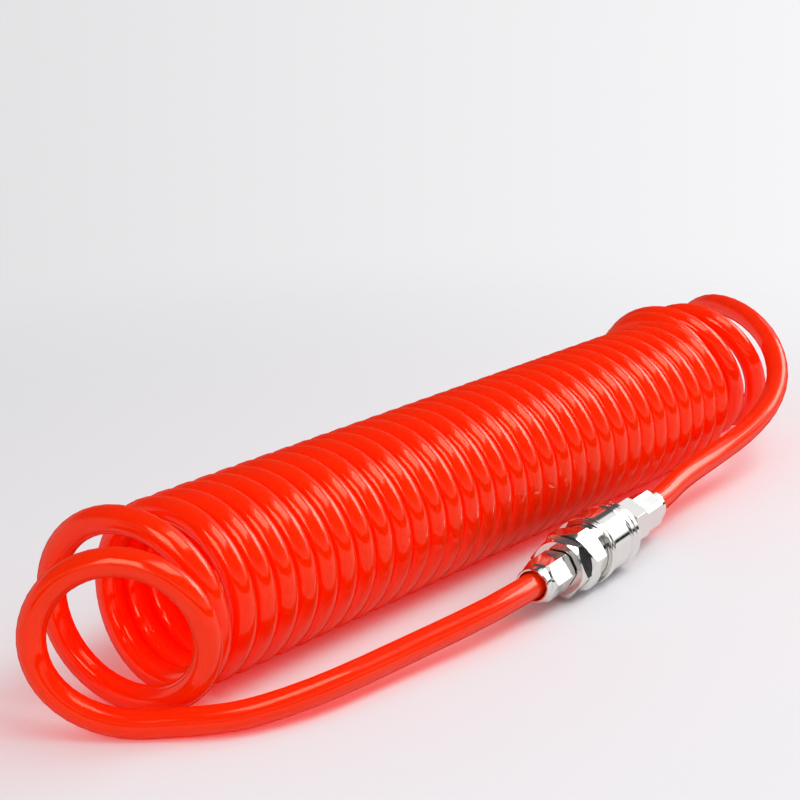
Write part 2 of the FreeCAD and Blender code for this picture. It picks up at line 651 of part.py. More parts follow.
first_turn = size("coil_first_turn")
last_turn = size("coil_last_turn")
turn_steps = range(math.ceil(first_turn * STEPS_A_TURN + 0.5), math.floor(last_turn * STEPS_A_TURN - 0.5) + 1)
coil_points = [coil_point(first_turn)] + [coil_point(step / STEPS_A_TURN) for step in turn_steps]
coil_points.append(coil_point(last_turn))
start_out = coil_heading_at(first_turn) * -1
end_out = coil_heading_at(last_turn)
coil_points.insert(0, coil_points[0] + start_out * size("coil_straight"))
coil_points.append(coil_points[-1] + end_out * size("coil_straight"))
coil_section = polygon(coil_points[0], start_out * -1, FreeCAD.Vector(0, 0, 1), HOSE_RADIUS, HOSE_SIDES)
coil_shape = chord_tube(coil_points, coil_section)
hose_coil = add_shape("hose_coil", coil_shape)
coil_length = sum(a.distanceToPoint(b) for a, b in zip(coil_points, coil_points[1:]))
section_area = Part.Face(coil_section).Area
print("hose_coil length %.1f volume %.0f section x length %.0f least gap %.2f lowest %.2f" % (
    coil_length, coil_shape.Volume, section_area * coil_length,
    least_gap(coil_points, HOSE_RADIUS, STEPS_A_TURN - 4), coil_shape.BoundBox.ZMin))


def end_wire(shape, point):
    # The tube's end polygon at a point
    best = min(shape.Faces, key=lambda face: face.CenterOfMass.distanceToPoint(point))
    return best.OuterWire


# Free ends of the hose: straight runs joined by tangent arcs
def bent_path(label, points):
    edges = []
    here = points[0]
    for before, corner, after in zip(points, points[1:], points[2:]):
        back = before - corner
        onward = after - corner
        shorter = min(back.Length, onward.Length)
        half_turn = (math.pi - back.getAngle(onward)) / 2
        radius = 0.45 * shorter / math.tan(half_turn)
        back.normalize()
        onward.normalize()
        start = corner + back * (0.45 * shorter)
        end = corner + onward * (0.45 * shorter)
        inward = back + onward
        inward.normalize()
        middle = corner + inward * (radius / math.cos(half_turn) - radius)
        edges.append(Part.LineSegment(here, start).toShape())
        edges.append(Part.Arc(start, middle, end).toShape())
        here = end
        print("  %s run %.0f turn %.0f radius %.0f" % (
            label, shorter, math.degrees(2 * half_turn), radius))
    edges.append(Part.LineSegment(here, points[-1]).toShape())
    return Part.Wire(edges)


def make_tail(label, points, section, spigot_from, spigot_to):
    # Hose from the coil to its spigot, widened where the spigot enters
    path = bent_path(label, points)
    tube = path.makePipeShell([section], True, False)
    area = Part.Face(section).Area
    print("%s length %.1f volume %.0f section x length %.0f lowest %.2f" % (
        label, path.Length, tube.Volume, area * path.Length, tube.BoundBox.ZMin))
    low, high = min(spigot_from, spigot_to), max(spigot_from, spigot_to)
    hole = Part.makeCylinder(at("hose_widened"), high - low, FreeCAD.Vector(low, 0, size("rim_radius")),
                             FreeCAD.Vector(1, 0, 0))
    return add_shape(label, tube.cut(hole))


axis_height = size("rim_radius")
coil_left = coil_points[0]
coil_right = coil_points[-1]
left_end = at("thread_tip") - size("spigot_play")
right_end = at("plug_thread_tip") + size("spigot_play")
LEFT_ROUTE = ((-150.8, 27.3, 5.2), (-131.6, 16.9, 7.4), (-99.0, 11.3, 7.6))
RIGHT_ROUTE = ((141.5, -5.0, 21.1), (111.7, 0.1, 15.2), (89.9, 3.6, 13.1))
left_points = [coil_left, coil_left + start_out * size("left_lead")]
left_points += [FreeCAD.Vector(*point) for point in LEFT_ROUTE]
left_points += [FreeCAD.Vector(at("nut_tip") - size("nut_lead"), 0, axis_height),
                FreeCAD.Vector(left_end, 0, axis_height)]
right_points = [coil_right, coil_right + end_out * size("right_lead")]
right_points += [FreeCAD.Vector(*point) for point in RIGHT_ROUTE]
right_points += [FreeCAD.Vector(at("plug_nut_tip") + size("nut_lead"), 0, axis_height),
                 FreeCAD.Vector(right_end, 0, axis_height)]
socket_tail = make_tail("hose_end_socket", left_points, end_wire(coil_shape, coil_left),
                        left_end, at("spigot_tip") - size("end_play"))
plug_tail = make_tail("hose_end_plug", right_points, end_wire(coil_shape, coil_right),
                      right_end, at("plug_spigot_tip") + size("end_play"))

# Checks, then one file for each piece
document.recompute()
for item in document.Objects:
    if "Invalid" in item.State or "Error" in item.State:
        raise RuntimeError("%s failed: %s" % (item.Name, item.State))

pieces = [hose_coil, socket_tail, plug_tail, socket_nut, plug_nut, adapter, adapter_seal, socket,
          snap_ring, packing, sleeve, sleeve_spring, valve, valve_seal, valve_spring, plug] + balls
os.makedirs("parts", exist_ok=True)
for piece in pieces:
    if piece.Shape.isNull() or not piece.Shape.isValid():
        raise RuntimeError("%s has no valid shape" % piece.Label)
    piece.Shape.exportStep(os.path.join("parts", piece.Label + ".step"))
    print("%s volume %.1f" % (piece.Label, piece.Shape.Volume))
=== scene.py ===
import math

import bmesh
import bpy
from bpy.props import (
    FloatProperty, FloatVectorProperty, IntProperty, PointerProperty, StringProperty)
from mathutils import Matrix, Vector


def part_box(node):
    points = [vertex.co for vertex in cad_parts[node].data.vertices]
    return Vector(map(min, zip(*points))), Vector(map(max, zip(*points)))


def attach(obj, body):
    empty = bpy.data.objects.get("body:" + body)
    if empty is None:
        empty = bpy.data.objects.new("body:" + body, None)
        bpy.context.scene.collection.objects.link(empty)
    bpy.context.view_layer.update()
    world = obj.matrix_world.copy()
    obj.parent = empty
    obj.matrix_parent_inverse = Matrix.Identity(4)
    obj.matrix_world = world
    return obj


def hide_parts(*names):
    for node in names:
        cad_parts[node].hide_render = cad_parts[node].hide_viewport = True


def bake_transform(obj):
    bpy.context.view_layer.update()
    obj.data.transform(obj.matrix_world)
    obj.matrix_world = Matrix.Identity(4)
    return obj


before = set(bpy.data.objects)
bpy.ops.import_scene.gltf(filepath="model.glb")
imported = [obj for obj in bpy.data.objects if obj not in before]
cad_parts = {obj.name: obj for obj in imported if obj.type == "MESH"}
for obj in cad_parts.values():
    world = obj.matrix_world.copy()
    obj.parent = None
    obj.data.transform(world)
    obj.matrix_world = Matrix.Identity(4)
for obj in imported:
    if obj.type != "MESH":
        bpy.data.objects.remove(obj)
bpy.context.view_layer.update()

bl_info = {
    "name": "Coiled air hose",
    "version": (1, 0, 0),
    "blender": (4, 5, 0),
    "location": "3D View > Sidebar > Air Hose",
    "description": "A coiled polyurethane air hose with a joined quick coupling",
    "category": "Add Mesh",
}

MM = 0.001
# Points closer than this, in metres, are one
SAME_PLACE = 1e-7


# Sizes and colours that a user would change

class HoseSizes(bpy.types.PropertyGroup):
    outer: FloatProperty(
        name="Outer diameter", description="Outer diameter of the hose",
        default=0.008, unit="LENGTH")
    coil_radius: FloatProperty(
        name="Coil radius", description="From the coil's axis to the middle of the hose",
        default=0.024, unit="LENGTH")
    pitch: FloatProperty(
        name="Pitch", description="From one close turn to the next",
        default=0.00845, unit="LENGTH")
    heading: FloatProperty(
        name="Heading", description="From the coupling's axis to the coil's axis",
        default=math.radians(-7.33), subtype="ANGLE")
    points_a_turn: IntProperty(
        name="Points a turn", description="Control points in one turn of the coil",
        default=16, min=12)
    sides: IntProperty(
        name="Sides", description="Sides of the hose's section",
        default=32, min=12)
    colour: StringProperty(
        name="Colour", description="Colour of the hose, as sRGB hex",
        default="#FF2E00")


class CouplingSizes(bpy.types.PropertyGroup):
    axis_height: FloatProperty(
        name="Axis height", description="From the bench to the coupling's axis",
        default=0.011, unit="LENGTH")
    segments: IntProperty(
        name="Segments", description="Steps round a turned piece",
        default=120, min=24)
    edge: FloatProperty(
        name="Broken edge", description="Width of the broken edges of turned metal",
        default=0.00016, unit="LENGTH")
    plate: StringProperty(
        name="Plating", description="Colour of the nickel plating, as sRGB hex",
        default="#E2E0DC")


class StageSizes(bpy.types.PropertyGroup):
    focal: FloatProperty(
        name="Focal length", description="Focal length of the camera, in millimetres",
        default=90.09)
    camera_place: FloatVectorProperty(
        name="Camera", description="Where the camera stands",
        default=(-0.5474, -0.2628, 0.2361), subtype="TRANSLATION")
    camera_turn: FloatVectorProperty(
        name="Camera turn", description="How the camera is turned",
        default=(math.radians(90 - 16.33), 0.0, math.radians(-58.44)), subtype="EULER")
    floor_colour: StringProperty(
        name="Floor", description="Colour of the floor, as sRGB hex",
        default="#E6E5E8")


# Materials; the sizes of their patterns are in millimetres

# Patches of the hose's tint, three in 50 mm
CLOUD_SIZE = 50 / 3
# Waves along the draw, far coarser than the real ones so that they show at all
DRAW_MARK_SIZE = 3.0
RUBBER_GRAIN_SIZE = 0.2
# Where the floor starts to fade into the backdrop and where it is gone, in metres from the middle
FLOOR_FADE = (0.22, 0.52)


def linear(hex_colour):
    # sRGB hex to the linear colour that the shader nodes take
    values = [int(hex_colour[index:index + 2], 16) / 255 for index in (1, 3, 5)]
    return tuple(value / 12.92 if value <= 0.04045 else ((value + 0.055) / 1.055) ** 2.4
                 for value in values) + (1.0,)


def add_node(tree, kind, settings=None, inputs=None):
    # One node with its settings, its values and its links
    node = tree.nodes.new(kind)
    for name, value in (settings or {}).items():
        setattr(node, name, value)
    for name, value in (inputs or {}).items():
        if isinstance(value, bpy.types.NodeSocket):
            tree.links.new(value, node.inputs[name])
        else:
            node.inputs[name].default_value = value
    return node


def new_material(name):
    material = bpy.data.materials.new(name)
    material.use_nodes = True
    tree = material.node_tree
    tree.nodes.clear()
    return material, tree


def material_named(name, maker, *words):
    # The material of that name, made by its maker the first time
    return bpy.data.materials.get(name) or maker(name, *words)


def extruded_polyurethane(name, colour):
    # Clear-tinted ether polyurethane, extruded: light enters and glows inside, so the shaded sides
    # stay saturated; the skin is smooth and glossy with a faint waviness along the draw
    material, tree = new_material(name)
    place = add_node(tree, "ShaderNodeTexCoord")
    cloud = add_node(tree, "ShaderNodeTexNoise", inputs={
        "Vector": place.outputs["Object"], "Scale": 1 / (CLOUD_SIZE * MM), "Detail": 2.0})
    core = add_node(tree, "ShaderNodeMix", {"data_type": "RGBA"}, {
        "Factor": cloud.outputs["Fac"], "A": linear("#FF2400"), "B": linear(colour)})
    # Painted rim shade: the colour darkens by view angle along the wall; the rim mirrors nothing
    view = add_node(tree, "ShaderNodeLayerWeight", inputs={"Blend": 0.35})
    mirror = add_node(tree, "ShaderNodeMapRange", inputs={
        "Value": view.outputs["Facing"], "From Min": 0.3, "From Max": 0.6,
        "To Min": 0.55, "To Max": 0.0})
    painted_rim_shade = add_node(tree, "ShaderNodeMix", {"data_type": "RGBA"}, {
        "Factor": view.outputs["Facing"], "A": core.outputs["Result"], "B": linear("#D02C0C")})
    skin = add_node(tree, "ShaderNodeTexNoise", inputs={
        "Vector": place.outputs["Object"], "Scale": 1 / (DRAW_MARK_SIZE * MM), "Detail": 2.0})
    bump = add_node(tree, "ShaderNodeBump", inputs={
        "Height": skin.outputs["Fac"], "Strength": 0.02, "Distance": 0.0001})
    shader = add_node(tree, "ShaderNodeBsdfPrincipled", inputs={
        "Base Color": painted_rim_shade.outputs["Result"], "Roughness": 0.07, "IOR": 1.5,
        "Specular IOR Level": mirror.outputs["Result"], "Specular Tint": linear("#FFD0A8"),
        "Subsurface Weight": 0.7, "Subsurface Radius": (1.0, 0.18, 0.05),
        "Subsurface Scale": 0.006, "Normal": bump.outputs["Normal"]})
    # Light that goes through the wall comes out red: the coil glows inside, its shadow is pink
    rays = add_node(tree, "ShaderNodeLightPath")
    let_through = add_node(tree, "ShaderNodeBsdfTransparent", inputs={"Color": linear("#FA6A58")})
    mixed = add_node(tree, "ShaderNodeMixShader", inputs={
        "Fac": rays.outputs["Is Shadow Ray"], 1: shader.outputs[0], 2: let_through.outputs[0]})
    add_node(tree, "ShaderNodeOutputMaterial", inputs={"Surface": mixed.outputs[0]})
    return material


def worked_metal(name, colour, roughness, mark_size):
    # Metal with the fine marks of the tool that worked it, stretched round the coupling's axis
    material, tree = new_material(name)
    place = add_node(tree, "ShaderNodeTexCoord")
    stretch = add_node(tree, "ShaderNodeMapping", inputs={
        "Vector": place.outputs["Object"], "Scale": (1.0, 0.12, 0.12)})
    marks = add_node(tree, "ShaderNodeTexNoise", inputs={
        "Vector": stretch.outputs["Vector"], "Scale": 1 / (mark_size * MM), "Detail": 3.0})
    gloss = add_node(tree, "ShaderNodeMapRange", inputs={
        "Value": marks.outputs["Fac"], "To Min": roughness * 0.7, "To Max": roughness * 1.4})
    bump = add_node(tree, "ShaderNodeBump", inputs={
        "Height": marks.outputs["Fac"], "Strength": 0.06, "Distance": 0.00005})
    shader = add_node(tree, "ShaderNodeBsdfPrincipled", inputs={
        "Base Color": linear(colour), "Metallic": 1.0, "Roughness": gloss.outputs["Result"],
        "Normal": bump.outputs["Normal"]})
    add_node(tree, "ShaderNodeOutputMaterial", inputs={"Surface": shader.outputs[0]})
    return material


def moulded_rubber(name):
    # Moulded nitrile rubber: near black, matt, with a faint grain
    material, tree = new_material(name)
    place = add_node(tree, "ShaderNodeTexCoord")
    grain = add_node(tree, "ShaderNodeTexNoise", inputs={
        "Vector": place.outputs["Object"], "Scale": 1 / (RUBBER_GRAIN_SIZE * MM), "Detail": 2.0})
    shade = add_node(tree, "ShaderNodeMix", {"data_type": "RGBA"}, {
        "Factor": grain.outputs["Fac"], "A": linear("#141414"), "B": linear("#262626")})
    bump = add_node(tree, "ShaderNodeBump", inputs={
        "Height": grain.outputs["Fac"], "Strength": 0.2, "Distance": 0.00005})
    shader = add_node(tree, "ShaderNodeBsdfPrincipled", inputs={
        "Base Color": shade.outputs["Result"], "Roughness": 0.55,
        "Normal": bump.outputs["Normal"]})
    add_node(tree, "ShaderNodeOutputMaterial", inputs={"Surface": shader.outputs[0]})
    return material


def matt_card(name, colour):
    # Matt white card: it takes a soft shadow and the hose's red glow, and far out it fades into
    # the backdrop
    material, tree = new_material(name)
    place = add_node(tree, "ShaderNodeTexCoord")
    reach = add_node(tree, "ShaderNodeVectorMath", {"operation": "LENGTH"}, {
        0: place.outputs["Object"]})
    fade = add_node(tree, "ShaderNodeMapRange", {"interpolation_type": "SMOOTHSTEP"}, {
        "Value": reach.outputs["Value"], "From Min": FLOOR_FADE[0], "From Max": FLOOR_FADE[1]})
    shader = add_node(tree, "ShaderNodeBsdfPrincipled", inputs={
        "Base Color": linear(colour), "Roughness": 0.9, "Specular IOR Level": 0.1})
    clear = add_node(tree, "ShaderNodeBsdfTransparent")
    mixed = add_node(tree, "ShaderNodeMixShader", inputs={
        "Fac": fade.outputs["Result"], 1: shader.outputs[0], 2: clear.outputs[0]})
    add_node(tree, "ShaderNodeOutputMaterial", inputs={"Surface": mixed.outputs[0]})
    return material


def black_cloth(name):
    # Black studio cloth, seen only in reflections
    material, tree = new_material(name)
    shader = add_node(tree, "ShaderNodeBsdfPrincipled", inputs={
        "Base Color": linear("#1C1C1E"), "Roughness": 1.0, "Specular IOR Level": 0.0})
    add_node(tree, "ShaderNodeOutputMaterial", inputs={"Surface": shader.outputs[0]})
    return material


def clear_red_hose():
    colour = bpy.context.scene.air_hose.colour
    return material_named("extruded_polyurethane", extruded_polyurethane, colour)


def bright_plate():
    # Bright nickel over turned or milled brass: mirror-like, and the tool's marks show through
    plate = bpy.context.scene.air_hose_coupling.plate
    return material_named("bright_nickel_plate", worked_metal, plate, 0.10, 0.25)


def spring_steel():
    # Drawn wire: grey, half bright, with the marks of the die
    return material_named("drawn_spring_steel", worked_metal, "#9A9C9F", 0.28, 0.1)


def ball_steel():
    # Ground and polished steel: the brightest of the metals
    return material_named("polished_ball_steel", worked_metal, "#D8D9DB", 0.06, 0.3)


def turned_brass():
    # Brass as it leaves the lathe: warm and satin
    return material_named("turned_brass", worked_metal, "#C9A25A", 0.22, 0.15)


# The hose, in millimetres and turns. At every whole turn it touches the bench. Its left end is as
# the solids have it, and its right end was set closer to the photograph.

# A place on the coil's axis, and the turn that it belongs to
COIL_START = (-140.39, 62.97)
COIL_START_TURN = 1 / 6
FIRST_TURN = -2.01
LAST_TURN = 34.05
# From the coil's left end straight on to the next control point
LEFT_LEAD = 15.9

# How the turns beyond the close ones lean, widen and move aside: factors of the first and higher
# powers of the number of turns beyond, which grows from nothing over about FAN_EASE of a turn
FAN_EASE = 0.35
FAN_RATES = ("x_cos", "x_sin", "x", "radius", "y")
LEFT_FAN = {
    "from": 0.2, "towards": -1, "x_cos": (-8.76, 4.5), "x_sin": (3.85, 3.5), "x": (17.84, -6.93),
    "radius": (4.9, -4.3), "y": (1.48, -5.45),
}
RIGHT_FAN = {
    "from": 30.75, "towards": 1, "x_cos": (3.95, 0.07, -0.16), "x_sin": (4.29, -6.11, 1.85),
    "x": (6.29, -1.32, 0.8), "radius": (0.91, -0.66, 0.07), "y": (22.92, -14.34, 2.62),
}

# From the socket's nut to the coil, and from the last turn on the bench over its top to the plug's
# nut, straight at both nuts
LEFT_ROUTE = (
    (-32.9, 0, 11), (-59.0, 0, 11), (-99.0, 11.3, 7.6), (-131.6, 16.9, 7.4), (-150.8, 27.3, 5.2),
)
RIGHT_ROUTE = (
    (189, 48, 10), (191, 53, 17), (191, 55, 26), (190, 54, 36), (187, 48, 44), (181, 37, 49),
    (173, 21, 48), (162, 6, 42), (148, -4, 33), (131, -7, 25), (112, -5, 19), (90, -1, 15),
    (67, 1, 13), (52, 0, 11), (32.9, 0, 11),
)
SPLINE_STEPS = 3


def coil_point(turn, spread=1.0):
    # Middle of the hose at a turn, in millimetres; spread makes up for what the spline cuts off
    sizes = bpy.context.scene.air_hose
    angle = 2 * math.pi * turn
    x = (turn - COIL_START_TURN) * sizes.pitch / MM
    y = 0.0
    radius = sizes.coil_radius / MM
    for fan in (LEFT_FAN, RIGHT_FAN):
        out = (turn - fan["from"]) * fan["towards"]
        if out > 0:
            grown = out * out / (out + FAN_EASE)
            rate = {name: sum(factor * grown ** (power + 1)
                              for power, factor in enumerate(fan[name])) for name in FAN_RATES}
            lean = rate["x_cos"] * math.cos(angle) + rate["x_sin"] * math.sin(angle)
            x += fan["towards"] * (lean + rate["x"])
            y += rate["y"]
            radius += rate["radius"]
    y += radius * spread * math.sin(angle)
    z = sizes.outer / 2 / MM + radius - radius * spread * math.cos(angle)
    turned = Matrix.Rotation(sizes.heading, 3, "Z") @ Vector((x, y, 0))
    return Vector((COIL_START[0] + turned.x, COIL_START[1] + turned.y, z))


def coil_points():
    # Control points of the coil, the same number for every turn. The spline passes them at three
    # quarters of each and one eighth of its two neighbours, so they stand farther out
    count = bpy.context.scene.air_hose.points_a_turn
    spread = 1 / (0.75 + 0.25 * math.cos(2 * math.pi / count))
    steps = round((LAST_TURN - FIRST_TURN) * count)
    return [coil_point(FIRST_TURN + (LAST_TURN - FIRST_TURN) * (step + 0.5) / steps, spread)
            for step in range(steps)]


def left_coil_end():
    # Where the coil goes over into the end to the socket: the point and the direction outwards
    step = 0.001
    outwards = coil_point(FIRST_TURN - step) - coil_point(FIRST_TURN + step)
    return coil_point(FIRST_TURN), outwards.normalized()


def spline_points(name, points):
    # Points along the quadratic spline that has these control points, both in metres
    curve = bpy.data.curves.new(name, "CURVE")
    curve.dimensions = "3D"
    spline = curve.splines.new("NURBS")
    spline.points.add(len(points) - 1)
    for control, point in zip(spline.points, points):
        control.co = (*point, 1.0)
    spline.order_u = 3
    spline.use_endpoint_u = True
    spline.resolution_u = SPLINE_STEPS
    line = bpy.data.objects.new(name, curve)
    bpy.context.collection.objects.link(line)
    mesh = bpy.data.meshes.new_from_object(line)
    path = [vertex.co.copy() for vertex in mesh.vertices]
    bpy.data.objects.remove(line)
    bpy.data.meshes.remove(mesh)
    return path


def finished(name, bm, smooth_angle=math.radians(12)):
    # Object from a bmesh, smooth but for its sharp edges; steps round a turned piece stay smooth
    for face in bm.faces:
        face.smooth = True
    for edge in bm.edges:
        if len(edge.link_faces) == 2 and edge.calc_face_angle(0.0) > smooth_angle:
            edge.smooth = False
    mesh = bpy.data.meshes.new(name)
    bm.to_mesh(mesh)
    bm.free()
    thing = bpy.data.objects.new(name, mesh)
    bpy.context.collection.objects.link(thing)
    return thing


def tube_object(name, path, radius, sides, first_side=None):
    # A closed tube along the path, its section turned as little as possible from point to point.
    # Also gives the direction of the last section's first corner, for a tube that goes on from it
    steps = len(path) - 1
    bm = bmesh.new()
    made = bmesh.ops.create_grid(bm, x_segments=sides, y_segments=steps, size=1.0)["verts"]
    along = (path[1] - path[0]).normalized()
    side = first_side or along.orthogonal()
    for index, point in enumerate(path):
        onward = (path[min(index + 1, steps)] - path[max(index - 1, 0)]).normalized()
        side = along.rotation_difference(onward) @ side
        side = (side - onward * side.dot(onward)).normalized()
        along = onward
        across = along.cross(side)
        for step in range(sides + 1):
            angle = 2 * math.pi * (step % sides) / sides
            made[index * (sides + 1) + step].co = point + (side * math.cos(angle)
                                                           + across * math.sin(angle)) * radius
    bmesh.ops.remove_doubles(bm, verts=bm.verts, dist=SAME_PLACE)
    bmesh.ops.holes_fill(bm, edges=[edge for edge in bm.edges if edge.is_boundary])
    bmesh.ops.recalc_face_normals(bm, faces=bm.faces)
    return finished(name, bm, smooth_angle=math.radians(60)), side


# Turned metal pieces: sizes across flats, and outlines of (station, radius) along the coupling's
# axis, in millimetres

NUT_FLATS = 12.0
NUT_CORNER = NUT_FLATS / math.sqrt(3)
NUT_OUTLINE = (
    (-41.2, 4.2), (-41.5, 4.6), (-43.0, 4.8), (-43.0, 5.35), (-42.75, 5.6), (-40.2, 5.6),
    (-39.9, 5.75), (-38.5, NUT_CORNER), (-27.4, NUT_CORNER), (-26.8, NUT_CORNER - 0.6),
    (-26.8, 5.3), (-27.2, 4.98), (-34.2, 4.98), (-35.0, 4.2),
)
ADAPTER_FLATS = 17.7
ADAPTER_CORNER = ADAPTER_FLATS / math.sqrt(3)
ADAPTER_OUTLINE = (
    (-41.0, 1.6), (-41.0, 2.3), (-40.6, 2.6), (-32.8, 2.6), (-32.8, 4.4), (-32.3, 4.9),
    (-26.4, 4.9), (-26.4, 4.6), (-26.0, 4.6), (-26.0, 8.6), (-25.1, ADAPTER_CORNER),
    (-22.4, ADAPTER_CORNER), (-21.5, 8.6), (-21.5, 5.5), (-16.4, 5.5), (-16.0, 5.1),
    (-16.0, 1.6),
)
BODY_FLATS = 18.4
BODY_CORNER = BODY_FLATS / math.sqrt(3)
BODY_OUTLINE = (
    (-20.0, 5.58), (-20.0, 9.0), (-19.1, BODY_CORNER), (-12.9, BODY_CORNER), (-11.5, 9.15),
    (-11.5, 9.1), (-8.0, 9.1), (-8.0, 7.2), (6.58, 7.2), (6.58, 6.4), (7.58, 6.4), (7.58, 7.2),
    (9.5, 7.2), (9.7, 7.0), (9.7, 5.2), (9.4, 4.9), (2.8, 4.9), (2.8, 4.38), (0.4, 4.38),
    (0.4, 6.08), (-1.5, 6.08), (-1.5, 4.38), (-3.5, 4.38), (-3.5, 3.6), (-5.0, 3.6),
    (-5.0, 5.58),
)
SLEEVE_OUTLINE = (
    (-9.0, 9.18), (-9.0, 10.75), (-8.75, 11.0), (-7.85, 11.0), (-7.6, 10.75), (-7.45, 10.45),
    (-7.25, 10.45), (-7.1, 10.75), (-6.85, 11.0), (-5.95, 11.0), (-5.7, 10.75), (-5.7, 10.5),
    (5.3, 10.5), (5.5, 10.2), (5.85, 10.2), (6.05, 10.6), (6.3, 11.0), (8.3, 11.0), (8.5, 10.7),
    (8.7, 10.55), (8.9, 10.7), (9.1, 11.0), (11.1, 11.0), (11.5, 10.6), (11.5, 9.1), (11.2, 8.8),
    (6.5, 8.8), (6.5, 8.0), (5.37, 8.0), (4.65, 7.28), (-0.7, 7.28), (-0.7, 9.18),
)
PLUG_FLATS = 14.0
PLUG_CORNER = PLUG_FLATS / math.sqrt(3)
PLUG_OUTLINE = (
    (-3.2, 1.6), (-3.2, 4.0), (-2.86, 4.34), (3.1, 4.34), (3.7, 3.7), (5.3, 3.7), (5.9, 4.82),
    (10.0, 4.82), (10.0, 6.2), (17.0, 6.2), (17.0, 6.9), (17.7, PLUG_CORNER),
    (25.5, PLUG_CORNER), (26.0, PLUG_CORNER - 0.5), (26.0, 4.9), (32.3, 4.9), (32.8, 4.4),
    (32.8, 2.6), (40.6, 2.6), (41.0, 2.3), (41.0, 1.6),
)


def mirrored(outline):
    return [(-x, radius) for x, radius in outline]


def turned_bmesh(outline):
    # Spins a closed outline about the coupling's axis
    sizes = bpy.context.scene.air_hose_coupling
    bm = bmesh.new()
    corners = [bm.verts.new((x * MM, 0.0, radius * MM)) for x, radius in outline]
    edges = [bm.edges.new((a, b)) for a, b in zip(corners, corners[1:] + corners[:1])]
    bmesh.ops.spin(bm, geom=corners + edges, cent=(0, 0, 0), axis=(1, 0, 0), angle=2 * math.pi,
                   steps=sizes.segments, use_merge=True, use_duplicate=False)
    bmesh.ops.remove_doubles(bm, verts=bm.verts, dist=SAME_PLACE)
    bmesh.ops.recalc_face_normals(bm, faces=bm.faces)
    return bm


def mill_hexagon(bm, flats, turn):
    # Six flats: each plane cuts off what lies outside it, and the cut is closed
    for index in range(6):
        angle = math.radians(turn + 30 + 60 * index)
        outward = Vector((0, math.cos(angle), math.sin(angle)))
        cut = bmesh.ops.bisect_plane(
            bm, geom=bm.verts[:] + bm.edges[:] + bm.faces[:], dist=1e-8,
            plane_co=outward * flats / 2 * MM, plane_no=outward, clear_outer=True)
        rim = [item for item in cut["geom_cut"] if isinstance(item, bmesh.types.BMEdge)]
        bmesh.ops.edgenet_fill(bm, edges=rim)
    bmesh.ops.recalc_face_normals(bm, faces=bm.faces)


def break_edges(bm, least_angle=math.radians(40)):
    # Rounds the sharp edges, as tumbling and plating leave them
    sharp = [edge for edge in bm.edges
             if len(edge.link_faces) == 2 and edge.calc_face_angle(0.0) > least_angle]
    bmesh.ops.bevel(bm, geom=sharp, offset=bpy.context.scene.air_hose_coupling.edge,
                    offset_type="OFFSET", segments=2, profile=0.5, affect="EDGES", material=-1,
                    clamp_overlap=True)


def turned_piece(name, outline, flats=None, turn=0.0):
    # A plated piece on the coupling's axis, with six flats turned by so many degrees if it has any
    bm = turned_bmesh(outline)
    if flats:
        mill_hexagon(bm, flats, turn)
    break_edges(bm)
    axis_height = bpy.context.scene.air_hose_coupling.axis_height
    bmesh.ops.translate(bm, verts=bm.verts, vec=(0, 0, axis_height))
    thing = finished(name, bm)
    thing.data.materials.append(bright_plate())
    return thing


# Inner pieces, in millimetres

SPRING_WIRE = 0.7
SPRING_TURNS = 4
SPRING_STEPS_A_TURN = 24
SPRING_SIDES = 10
BALL_RADIUS = 1.4


def round_spring(name, node):
    # Wire spring in the room that its solid takes, from its seat in the socket to the body that
    # it pushes
    low, high = (Vector(corner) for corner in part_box(node))
    wire = SPRING_WIRE * MM
    middle = (low + high) / 2
    radius = (high.z - low.z - wire) / 2
    steps = SPRING_TURNS * SPRING_STEPS_A_TURN
    path = []
    for step in range(steps + 1):
        angle = 2 * math.pi * step / SPRING_STEPS_A_TURN
        x = low.x + wire / 2 + (high.x - low.x - wire) * step / steps
        path.append(Vector((x, middle.y + radius * math.cos(angle),
                            middle.z + radius * math.sin(angle))))
    thing, _ = tube_object(name, path, wire / 2, SPRING_SIDES)
    thing.data.materials.append(spring_steel())
    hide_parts(node)
    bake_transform(thing)
    return thing


# Stage, in metres

LAMP_DISTANCE = 1.2
# Name, azimuth from +Y towards +X and elevation in degrees, width, height, radiance, and whether it
# lights the scene: the large dim ones are only mirrored by the plating and the hose
LAMPS = (
    ("right_key", 116, 30, 0.70, 0.42, 5.5, True),
    ("left_key", -97, 28, 0.40, 0.50, 5.0, True),
    ("top_key", 172, 66, 1.00, 0.45, 4.0, True),
    ("right_softbox", 112, 28, 1.15, 0.95, 0.95, False),
    ("left_softbox", -97, 24, 0.50, 0.85, 0.90, False),
    ("top_softbox", 172, 67, 1.40, 0.65, 0.80, False),
)
SENSOR_WIDTH = 36.0
FLOOR_REACH = 2.0
# The strip stands in a round about the object and ends this far behind it
STRIP_RADIUS = 1.6
STRIP_HEIGHT = 0.26
STRIP_END = 0.55
# The backdrop's level at the left and right of the picture, and the sine of the angle to them
TO_THE_RIGHT = (0.524, -0.852, 0.0)
BACKDROP_REACH = 0.22
BACKDROP_LEFT = 0.77
BACKDROP_RIGHT = 0.94
# The height, as a sine, from which the backdrop darkens and where it is a dark ceiling
CEILING_START = 0.12
CEILING_END = 0.45
CEILING_LEVEL = 0.12
FILL_LEVEL = 0.5


def photo_camera(stage):
    data = bpy.data.cameras.new("photo_camera")
    data.lens = stage.focal
    data.sensor_width = SENSOR_WIDTH
    data.clip_start = 0.01
    camera = bpy.data.objects.new("photo_camera", data)
    camera.location = stage.camera_place
    camera.rotation_euler = stage.camera_turn
    bpy.context.collection.objects.link(camera)
    bpy.context.scene.camera = camera


def pale_floor(stage):
    bm = bmesh.new()
    bmesh.ops.create_grid(bm, x_segments=1, y_segments=1, size=FLOOR_REACH)
    floor = finished("floor", bm)
    floor.data.materials.append(matt_card("matt_white_card", stage.floor_colour))


